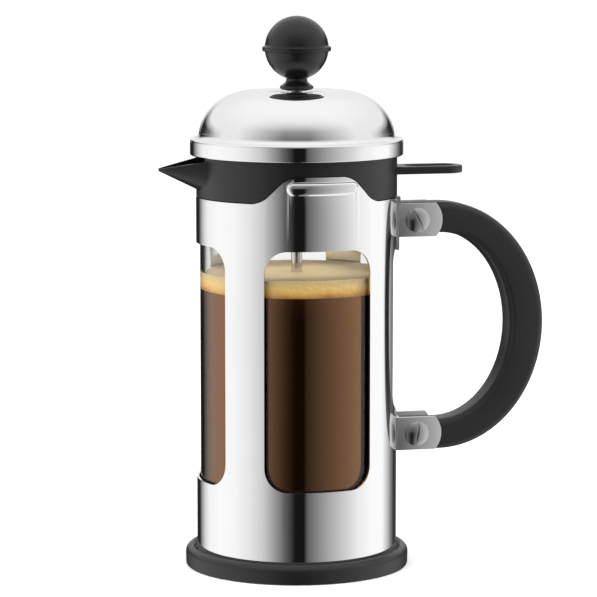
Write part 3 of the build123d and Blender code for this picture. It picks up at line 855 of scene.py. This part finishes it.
# light from the lamps passes straight through the wall, so what stands in the glass is lit
clear = add_node(tree, "BsdfTransparent")
path = add_node(tree, "LightPath")
pane = add_node(
    tree,
    "MixShader",
    {"Fac": path.outputs["Is Shadow Ray"], 1: shader.outputs["BSDF"], 2: clear.outputs["BSDF"]},
)
tree.links.new(pane.outputs["Shader"], tree.nodes["Material Output"].inputs["Surface"])
GLASS_RADIUS = 35.0
GLASS_INNER = 33.2
GLASS_FLOOR = 10.2
GLASS_RIM = 139.0
glass_outline = (
    [(0, GLASS_SEAT), (GLASS_RADIUS - 5.4, GLASS_SEAT)]
    + arc((GLASS_RADIUS - 5, GLASS_SEAT + 5), 5, -90, 0, 12)
    + [(GLASS_RADIUS, GLASS_SEAT + 5.4), (GLASS_RADIUS, GLASS_RIM - 1.3)]
    + arc((GLASS_RADIUS - 0.9, GLASS_RIM - 0.9), 0.9, 0, 180, 10)
    + [(GLASS_INNER, GLASS_RIM - 1.3), (GLASS_INNER, GLASS_FLOOR + 3.6)]
    + arc((GLASS_INNER - 3.2, GLASS_FLOOR + 3.2), 3.2, 0, -90, 10)
    + [(GLASS_INNER - 3.6, GLASS_FLOOR), (0, GLASS_FLOOR)]
)
add_piece("beaker_glass", turned(glass_outline, 200), glass, "beaker", ["glass_beaker"])

# ---- Coffee ----
# What the press holds: black coffee up to a thick tan layer of foam. It stays in the beaker, and
# the plunger moves through it.
COFFEE_TOP = 101.4
FOAM_TOP = 107.2
WET = GLASS_INNER + 0.05      # the drink runs a hair into the wall, so no air shows between them

coffee, tree, shader = new_material("black_coffee")
place = object_place(tree)
cloud = noise(tree, place, 26.0, 6.0, 0.62)
tone = add_ramp(tree, cloud, [(0.3, (0.005, 0.002, 0.001)), (0.7, (0.010, 0.004, 0.0015))])
rise = add_node(tree, "SeparateXYZ", {"Vector": place})
band = rescaled(tree, rise.outputs["Z"], (COFFEE_TOP - 7) * MM, COFFEE_TOP * MM)
connect(tree, shader, {
    "Base Color": blend(tree, band, tone, (0.024, 0.009, 0.003, 1)),
    "Roughness": 0.0,
    "IOR": 2.6,
    "Specular Tint": (1.0, 0.43, 0.14, 1),
})
coffee_outline = (
    [(0, GLASS_FLOOR - 0.05)]
    + arc((WET - 3.2, GLASS_FLOOR + 3.15), 3.2, -90, 0, 10)
    + [(WET, GLASS_FLOOR + 3.6), (WET, COFFEE_TOP), (0, COFFEE_TOP)]
)
add_piece("coffee_fill", turned(coffee_outline, 160), coffee, "beaker")

foam, tree, shader = new_material("coffee_foam")
place = object_place(tree)
rise = add_node(tree, "SeparateXYZ", {"Vector": place})
uneven = scaled(tree, noise(tree, place, 120.0, 4.0), 0.0032, rise.outputs["Z"])
layer = rescaled(tree, uneven, (COFFEE_TOP + 1.0) * MM, (FOAM_TOP + 1.6) * MM)
tone = add_ramp(
    tree,
    layer,
    [
        (0.0, (0.28, 0.11, 0.03)),
        (0.12, (0.50, 0.25, 0.06)),
        (0.34, (0.95, 0.54, 0.12)),
        (0.62, (0.98, 0.72, 0.27)),
        (1.0, (0.80, 0.60, 0.32)),
    ],
)
bubbles = add_node(tree, "TexVoronoi", {"Vector": place, "Scale": 700.0}, feature="F1")
connect(tree, shader, {
    "Base Color": tone,
    "Roughness": 0.5,
    "Subsurface Weight": 0.3,
    "Subsurface Radius": (1.0, 0.7, 0.4),
    "Subsurface Scale": 0.002,
    "Normal": bumps(tree, bubbles.outputs["Distance"], 0.5, 0.0004, invert=True),
})
foam_outline = [
    (0, COFFEE_TOP + 0.02),
    (WET, COFFEE_TOP + 0.02),
    (WET, FOAM_TOP + 0.5),
    (WET - 0.5, FOAM_TOP + 0.15),
    (WET - 1.6, FOAM_TOP),
    (0, FOAM_TOP),
]
add_piece("coffee_foam_layer", turned(foam_outline, 160), foam, "beaker")

# ---- Collar gasket ----
# Soft ring of the cushion's rubber, squeezed between the glass rim and the ledge of the collar.
# It is turned as one rounded profile.
COLLAR_LEDGE = 139.8
gasket_outline = ring_section(33.4, 34.8, GLASS_RIM, COLLAR_LEDGE, (0.2, 0.2, 0.2, 0.2), 2)
add_piece("gasket_ring", turned(gasket_outline, 120), rubber, "beaker", ["collar_gasket"])

# ---- Spout collar ----
# Black moulded ring pushed over the glass rim. Its skirt is cut away round the sleeve's arches, and
# the pouring beak and the thumb loop are moulded on.
collar_plastic = plastic("collar_plastic", (0.006, 0.006, 0.0065), 0.32, 0.15)
COLLAR_RADIUS = 36.3
COLLAR_TOP = 151.8
COLLAR_GAP = 0.35
SPOUT_GAP = 7.6
collar_bm = bmesh.new()
collar_round = 2 * pi * COLLAR_RADIUS
collar_rim = wavy_rim(COLLAR_RADIUS, COLLAR_GAP, (collar_round * 0.25, collar_round * 0.75))
spout_middle = collar_round / 2
skin = [
    (0, COLLAR_TOP),
    (0, SLEEVE_RIM + COLLAR_GAP),
    *collar_rim,
    (collar_round, SLEEVE_RIM + COLLAR_GAP),
    (collar_round, COLLAR_TOP),
    (spout_middle + SPOUT_GAP, COLLAR_TOP),
    (spout_middle + SPOUT_GAP, 145.0),
    (spout_middle - SPOUT_GAP, 145.0),
    (spout_middle - SPOUT_GAP, COLLAR_TOP),
]
flat_blank(collar_bm, [cut_outline(skin, ARCH_RUN - 0.1, range(2, 10))])
slice_columns(collar_bm, 0.0, collar_round, 240)
roll(collar_bm, COLLAR_RADIUS, 0.0)
collar_skin = add_piece(
    "collar_skirt", collar_bm, collar_plastic, "beaker", ["spout_collar"], 60.0
)
thicken(collar_skin, 1.1, 0.2)

MOUTH = 13.0      # degrees of the inner ring left out each way for the beak
inner_ring = ring_section(33.2, 35.28, COLLAR_LEDGE, 151.7, (0.3, 0.2, 0.2, 0.4), 3)
ring_bm = turned(inner_ring, 160, -180 + MOUTH, 360 - 2 * MOUTH)

BEAK_ROOT = (-34.2, 10.6, 148.7, 136.6)     # x, half width, top, bottom
BEAK_TIP = (-50.55, 1.5, 145.6, 144.6)
BEAK_WALL = 1.4
BEAK_STEPS = 10


def beak_loop(bm, share):
    """One U-shaped cross-section of the open beak, from root (0) to tip (1)."""
    x, half, top, bottom = (a + (b - a) * share for a, b in zip(BEAK_ROOT, BEAK_TIP))
    half = BEAK_TIP[1] + (BEAK_ROOT[1] - BEAK_TIP[1]) * (1 - share) ** 0.9
    wall = BEAK_WALL * (1 - 0.62 * share)
    depth = top - bottom
    outer = [(half * sin(a), top - depth * cos(a)) for a in [pi * (k / 20 - 0.5) for k in range(21)]]
    inner_half = max(half - wall, 0.4)
    inner_depth = max(depth - wall * 1.2, 0.3)
    inner = [
        (inner_half * sin(a), top - inner_depth * cos(a)) for a in [pi * (0.5 - k / 20) for k in range(21)]
    ]
    return edge_loop(bm, [(x, y, z) for y, z in outer + inner])


beak_bm = bmesh.new()
bridge_skin(beak_bm, [beak_loop(beak_bm, i / BEAK_STEPS) for i in range(BEAK_STEPS + 1)])
join(ring_bm, beak_bm)
join(ring_bm, turned(ring_section(35.14, 35.42, 135.3, 140.0, (0, 0, 0, 0)), 120))

LOOP_END = 62.0
LOOP_HALF = 7.0
LOOP_LOW = 142.2
LOOP_THICK = 2.8
loop_outline = rounded([
    (34.6, -LOOP_HALF, 0),
    (LOOP_END, -LOOP_HALF, LOOP_HALF - 0.02),
    (LOOP_END, LOOP_HALF, LOOP_HALF - 0.02),
    (34.6, LOOP_HALF, 0),
], 16)
slot_outline = rounded([
    (40.3, -4.1, 4.08),
    (59.1, -4.1, 4.08),
    (59.1, 4.1, 4.08),
    (40.3, 4.1, 4.08),
], 12)
loop_bm = plate([loop_outline, slot_outline], LOOP_THICK, 0.5, 3)
lay_flat = Matrix.Translation((0, 0, LOOP_LOW * MM)) @ Matrix.Rotation(pi / 2, 4, "X")
bmesh.ops.transform(loop_bm, matrix=lay_flat, verts=loop_bm.verts)
join(ring_bm, loop_bm)
add_piece("collar_ring_and_beak", ring_bm, collar_plastic, "beaker", ())

# ---- Lid dome ----
# Drawn from one disc of sheet steel and polished: a turned-down rim with a fine line round it, a
# small step, and a flattened dome that is bored for the guide.
lid_metal = polished("lid_chrome", (0.93, 0.93, 0.935), 0.03, 0.03)
LID_RADIUS = 38.5
LID_FOOT = 149.8
LID_FLANGE = 155.7
DOME_RADIUS = 35.4
DOME_FLAT = 16.0
DOME_TOP = 172.8
BORE = 3.58
LID_LINE = 154.75
SHOULDER = 0.75
SWEEP = 2.3
rise = DOME_TOP - LID_FLANGE
run = DOME_RADIUS - DOME_FLAT
sweep_lean = degrees(asin(SWEEP / rise))
sweep_start = DOME_FLAT + run * cos(radians(sweep_lean))
dome_outline = (
    arc((LID_RADIUS - 0.4, LID_FOOT + 0.4), 0.4, -90, 0, 4)
    + [(LID_RADIUS, LID_LINE - 0.14), (LID_RADIUS - 0.12, LID_LINE - 0.06)]
    + [(LID_RADIUS - 0.12, LID_LINE + 0.06), (LID_RADIUS, LID_LINE + 0.14)]
    + arc((LID_RADIUS - SHOULDER, LID_FLANGE - SHOULDER), SHOULDER, 0, 90, 8)
    + arc((sweep_start + 2.0, LID_FLANGE + SWEEP), (2.0, SWEEP), 270, 180, 12)
    + arc((DOME_FLAT, LID_FLANGE), (run, rise), sweep_lean + 1, 90, 48)
    + arc((BORE + 0.3, DOME_TOP - 0.3), 0.3, 90, 180, 3)
    + [(BORE, DOME_TOP - SHEET)]
    + arc((DOME_FLAT, LID_FLANGE), (run - SHEET, rise - SHEET), 90, 0, 40)
    + [(DOME_RADIUS - SHEET, LID_FLANGE - SHEET), (LID_RADIUS - 1.6, LID_FLANGE - SHEET)]
    + arc((LID_RADIUS - 1.6, LID_FLANGE - 1.6), 0.8, 80, 0, 5)
    + [(LID_RADIUS - SHEET, LID_FOOT)]
)
add_piece("lid_shell", turned(dome_outline, 220), lid_metal, "lid", ["lid_dome"], 40.0)

# ---- Lid insert ----
# Black moulded plug clipped inside the lid. Its wall has a row of strainer slots that face the
# spout, and its disc closes the dome from below.
insert_plastic = plastic("insert_plastic", (0.012, 0.012, 0.0125), 0.42, 0.2)
PLUG_RADIUS = 32.8
PLUG_WALL = 1.6
PLUG_FOOT = 143.0
PLUG_TOP = 152.2
SLOTS = 9
SLOT_PITCH = 7.0
SLOT_WIDTH = 1.3
SLOT_LOW = 144.6
SLOT_HIGH = 150.2
plug_round = 2 * pi * PLUG_RADIUS
plug_bm = bmesh.new()
slot_outlines = []
for i in range(SLOTS):
    middle = plug_round / 2 + plug_round * (i - (SLOTS - 1) / 2) * SLOT_PITCH / 360
    slot = box(middle, SLOT_WIDTH / 2, SLOT_LOW, SLOT_HIGH)
    slot_outlines.append(cut_outline(slot, SLOT_WIDTH / 2 - 0.02, None, 4))
wall = [Vector((x, 0, z)) for x, z in box(plug_round / 2, plug_round / 2, PLUG_FOOT, PLUG_TOP)]
flat_blank(plug_bm, [wall] + slot_outlines)
slice_columns(plug_bm, 0.0, plug_round, 180)
roll(plug_bm, PLUG_RADIUS, 0.0)
plug = add_piece("strainer_wall", plug_bm, insert_plastic, "lid", ["lid_insert"], 60.0)
thicken(plug, PLUG_WALL, 0.2)
disc_outline = ring_section(BORE, 36.7, 151.8, 154.85, (0.2, 0.4, 0.4, 0.2), 3)
add_piece("insert_disc", turned(disc_outline, 140), insert_plastic, "lid", ())

# ---- Guide bushing and clip ----
# A flanged tube of dark plastic through the lid, held by a ring of spring steel below. The
# plunger's rod runs in it.
bushing_plastic = plastic("bushing_plastic", (0.05, 0.05, 0.05), 0.35, 0.1)
GUIDE_BORE = 2.08
GUIDE_RADIUS = 3.5
GUIDE_FOOT = 150.3
GUIDE_FLANGE = 6.0
bushing_outline = rounded([
    (GUIDE_BORE, GUIDE_FOOT, 0),
    (GUIDE_RADIUS, GUIDE_FOOT, 0.2),
    (GUIDE_RADIUS, 170.5, 0),
    (GUIDE_FLANGE, 170.5, 0.2),
    (GUIDE_FLANGE, 171.9, 0.2),
    (GUIDE_RADIUS, 171.9, 0),
    (GUIDE_RADIUS, DOME_TOP, 0.15),
    (GUIDE_BORE, DOME_TOP, 0.15),
], 3)
bushing_bm = turned(bushing_outline, 64)
add_piece("bushing_tube", bushing_bm, bushing_plastic, "rod_guide", ["guide_bushing"])
stamped = brushed("stamped_steel", (0.74, 0.74, 0.745), 0.28, (1.0, 6.0, 1.0))
clip_outline = ring_section(GUIDE_RADIUS + 0.04, GUIDE_FLANGE, 150.5, 151.7, (0.15, 0.3, 0.3, 0.15), 2)
add_piece("clip_ring", turned(clip_outline, 64), stamped, "rod_guide", ["guide_clip"])

# ---- Knob ----
# Black moulded ball with a bead round its middle and a flared foot, screwed down on the rod. It
# is turned as one profile.
knob_plastic = plastic("knob_plastic", (0.005, 0.005, 0.0055), 0.27, 0.1)
KNOB_CENTRE = 188.1
KNOB_RADIUS = 11.5
BEAD_RADIUS = 12.4
BEAD_MIDDLE = 187.8
BEAD_HALF = 0.95
KNOB_FOOT = 173.1
FOOT_RADIUS = 5.2
FOOT_ROUND = 0.85
knob_outline = (
    [(0, KNOB_FOOT), (FOOT_RADIUS, KNOB_FOOT)]
    + arc((FOOT_RADIUS, KNOB_FOOT + FOOT_ROUND), FOOT_ROUND, -70, 60, 8)
    + [(4.95, 175.1), (4.3, 175.7), (3.86, 176.3), (3.75, 176.8), (3.95, 177.25), (4.6, 177.6)]
    + arc((0, KNOB_CENTRE), KNOB_RADIUS, -62, -7.2, 22)
    + arc((BEAD_RADIUS - 0.6, BEAD_MIDDLE - BEAD_HALF + 0.6), 0.6, -90, 0, 5)
    + arc((BEAD_RADIUS - 0.6, BEAD_MIDDLE + BEAD_HALF - 0.6), 0.6, 0, 90, 5)
    + arc((0, KNOB_CENTRE), KNOB_RADIUS, 4.6, 90, 34)
)
knob_outline[-1] = (0, KNOB_CENTRE + KNOB_RADIUS)
add_piece("knob_ball", turned(knob_outline, 128), knob_plastic, "plunger", ["knob"], 40.0)

# ---- Rod and its fittings ----
# Bright drawn steel rod, threaded into a brass sleeve in the knob. Below, a flanged hub and a
# hexagon nut clamp the filter on it.
rod_metal = polished("rod_steel", (0.78, 0.78, 0.785), 0.10, 0.08)
ROD_TOP = 186.1
ROD_BORE = 2.04      # of the pieces that are fixed on the rod
rod_outline = ring_section(0, 2.0, 11.0, ROD_TOP, (0, 0.3, 0.3, 0), 3)
add_piece("rod_bar", turned(rod_outline, 40), rod_metal, "plunger", ["plunger_rod"])
brass, tree, shader = new_material("insert_brass")
place = object_place(tree)
rings = add_node(tree, "TexWave", {"Vector": place, "Scale": 400.0, "Distortion": 0.4}, bands_direction="Z")
tone = add_ramp(tree, rings.outputs["Fac"], [(0.0, (0.50, 0.33, 0.10)), (1.0, (0.78, 0.56, 0.24))])
connect(tree, shader, {
    "Base Color": tone,
    "Metallic": 1.0,
    "Roughness": 0.3,
    "Normal": bumps(tree, rings.outputs["Fac"], 0.3, 0.0002),
})
sleeve_outline = ring_section(ROD_BORE, 3.36, 178.1, ROD_TOP, (0.2, 0.2, 0.2, 0.2), 2)
add_piece("threaded_sleeve", turned(sleeve_outline, 48), brass, "plunger", ["knob_insert"])
HUB_FOOT = 15.25
HUB_TOP = 20.25
hub_outline = rounded([
    (ROD_BORE, HUB_FOOT, 0),
    (7.0, HUB_FOOT, 0.2),
    (7.0, 16.45, 0.3),
    (4.5, 17.05, 0.4),
    (4.5, HUB_TOP, 0.6),
    (ROD_BORE, HUB_TOP, 0),
], 4)
add_piece("flanged_hub", turned(hub_outline, 64), stamped, "plunger", ["rod_collar"])
CLAMP_DEPTH = 2.2
CLAMP_MIDDLE = 12.1
nut_bm = hexagon(CLAMP_DEPTH)
bevel_edges(nut_bm, nut_bm.edges[:], 0.2, 2)
bmesh.ops.translate(nut_bm, verts=nut_bm.verts, vec=(0, 0, CLAMP_MIDDLE * MM))
add_piece("clamp_nut", nut_bm, stamped, "plunger", ["hub_nut"], 20.0)


# ---- Filter stack ----
# A stamped cross plate, the woven mesh with its turned-up rim, and the lipped plate whose edge
# carries a coil of fine spring wire that presses the mesh against the glass.
def punched_disc(radius, low, thickness, rings, hole_sides=20):
    """Flat disc with rings of round holes; each ring is (ring radius, count, hole radius)."""
    outlines = [
        arc((0, 0), radius, 0, 357.5, 143),
        arc((0, 0), ROD_BORE, 0, 345, 23),
    ]
    for ring, count, hole in rings:
        for i in range(count):
            angle = 2 * pi * i / count
            centre = (ring * cos(angle), ring * sin(angle))
            outlines.append(arc(centre, hole, 0, 360 - 360 / hole_sides, hole_sides - 1))
    bm = plate(outlines, thickness, 0.12, 1)
    upright = Matrix.Translation((0, 0, low * MM)) @ Matrix.Rotation(pi / 2, 4, "X")
    bmesh.ops.transform(bm, matrix=upright, verts=bm.verts)
    return bm


CROSS_RADIUS = 31.0
cross_bm = punched_disc(CROSS_RADIUS, 13.2, 1.0, ((CROSS_RADIUS * 0.6, 6, CROSS_RADIUS * 0.22),), 32)
add_piece("cross_plate_disc", cross_bm, stamped, "plunger", ["cross_plate"])

mesh_metal, tree, shader = new_material("woven_wire")
place = object_place(tree)
warp = add_node(tree, "TexWave", {"Vector": place, "Scale": 420.0}, bands_direction="X")
weft = add_node(tree, "TexWave", {"Vector": place, "Scale": 420.0}, bands_direction="Y")
cross = add_node(tree, "Math", {0: warp.outputs["Fac"], 1: weft.outputs["Fac"]}, operation="MAXIMUM")
tone = add_ramp(tree, cross.outputs[0], [(0.45, (0.03, 0.03, 0.03)), (0.8, (0.70, 0.70, 0.71))])
connect(tree, shader, {
    "Base Color": tone,
    "Metallic": 1.0,
    "Roughness": 0.35,
    "Normal": bumps(tree, cross.outputs[0], 0.6, 0.0003),
})
MESH_RADIUS = 32.8
MESH_FOOT = 14.2
MESH_TOP = 18.2
MESH_ROUND = 0.7
MESH_THICK = 0.25
mesh_bend = (MESH_RADIUS - MESH_ROUND, MESH_FOOT + MESH_ROUND)
mesh_outline = (
    [(ROD_BORE, MESH_FOOT)]
    + arc(mesh_bend, MESH_ROUND, -90, 0, 5)
    + [(MESH_RADIUS, MESH_TOP), (MESH_RADIUS - MESH_THICK, MESH_TOP)]
    + arc(mesh_bend, MESH_ROUND - MESH_THICK, 0, -90, 5)
    + [(ROD_BORE, MESH_FOOT + MESH_THICK)]
)
add_piece("woven_filter", turned(mesh_outline, 160), mesh_metal, "plunger", ["filter_mesh"])

PLATE_RADIUS = 29.91
PLATE_THICK = 0.8
hole_rings = [(PLATE_RADIUS * part, count, 2.0) for part, count in ((0.38, 8), (0.58, 12), (0.78, 18))]
plate_bm = punched_disc(PLATE_RADIUS, MESH_FOOT + MESH_THICK, PLATE_THICK, hole_rings)
lip = ring_section(PLATE_RADIUS - PLATE_THICK, PLATE_RADIUS, 14.9, 16.65, (0, 0, 0.3, 0.3), 3)
join(plate_bm, turned(lip, 160))
add_piece("lipped_plate", plate_bm, stamped, "plunger", ["spring_plate"])

COIL_RING = 31.23
COIL_RADIUS = 1.02
WIRE_RADIUS = 0.17
COIL_TURNS = 190
STEPS_PER_TURN = 10
COIL_MIDDLE = 15.77
coil = bpy.data.curves.new("coil", "CURVE")
coil.dimensions = "3D"
coil.bevel_depth = WIRE_RADIUS * MM
coil.bevel_resolution = 1
spline = coil.splines.new("POLY")
spline.points.add(COIL_TURNS * STEPS_PER_TURN - 1)
spline.use_cyclic_u = True
for i, point in enumerate(spline.points):
    around = 2 * pi * i / (COIL_TURNS * STEPS_PER_TURN)
    twist = 2 * pi * i / STEPS_PER_TURN
    reach = COIL_RING + COIL_RADIUS * cos(twist)
    height = COIL_MIDDLE + COIL_RADIUS * sin(twist)
    point.co = (reach * cos(around) * MM, reach * sin(around) * MM, height * MM, 1)
coil_object = add_object("coil", coil)
coil_mesh = bpy.data.meshes.new_from_object(coil_object)
spring_bm = bmesh.new()
spring_bm.from_mesh(coil_mesh)
bpy.data.objects.remove(coil_object)
bpy.data.meshes.remove(coil_mesh)
spring_metal = polished("spring_steel", (0.78, 0.78, 0.79), 0.16, 0.05)
add_piece("coil_spring", spring_bm, spring_metal, "plunger", ["edge_spring"], 60.0)
